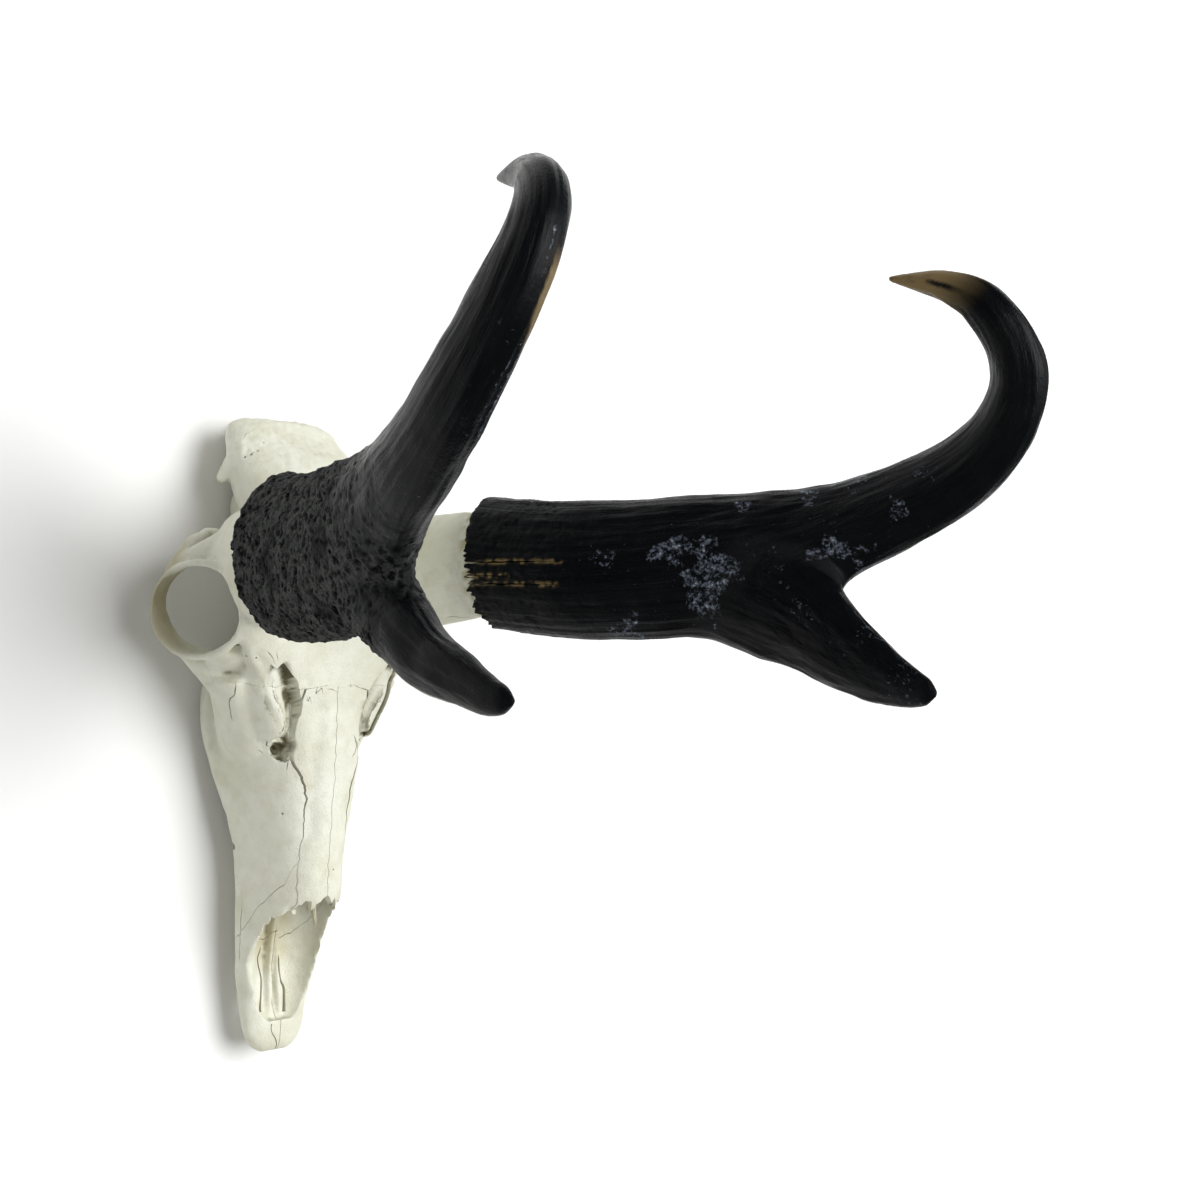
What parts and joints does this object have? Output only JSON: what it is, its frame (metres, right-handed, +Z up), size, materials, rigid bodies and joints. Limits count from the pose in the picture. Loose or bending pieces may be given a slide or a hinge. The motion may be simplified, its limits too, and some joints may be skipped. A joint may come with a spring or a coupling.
{
  "type": "pronghorn skull",
  "caption": "Life-size still model of a pronghorn skull with both black pronged horn sheaths on their bony cores, upper cheek teeth, open orbits and nose, lying as it rests on a table.",
  "frame": {"origin": "centre of the bounding box at floor level, under the skull", "axes": "+Z up, nose towards -Y, the animal's left side towards +X"},
  "size_m": [0.3127, 0.3388, 0.3389],
  "materials": {
    "bone": "dry cream-white bone, matt to faintly waxy",
    "horn": "blackish horn keratin, pitted at the base, striated and half glossy towards the tips"
  },
  "bodies": {
    "root": {"cranium": "bone", "horn_core_left": "bone", "horn_core_right": "bone", "zygomatic_left": "bone", "zygomatic_right": "bone", "maxilla_left": "bone", "maxilla_right": "bone", "nasal_left": "bone", "nasal_right": "bone", "premaxilla_left": "bone", "premaxilla_right": "bone", "horn_shaft_left": "horn", "horn_shaft_right": "horn", "horn_prong_left": "horn", "horn_prong_right": "horn", "horn_hook_left": "horn", "horn_hook_right": "horn"}
  },
  "joints": []
}
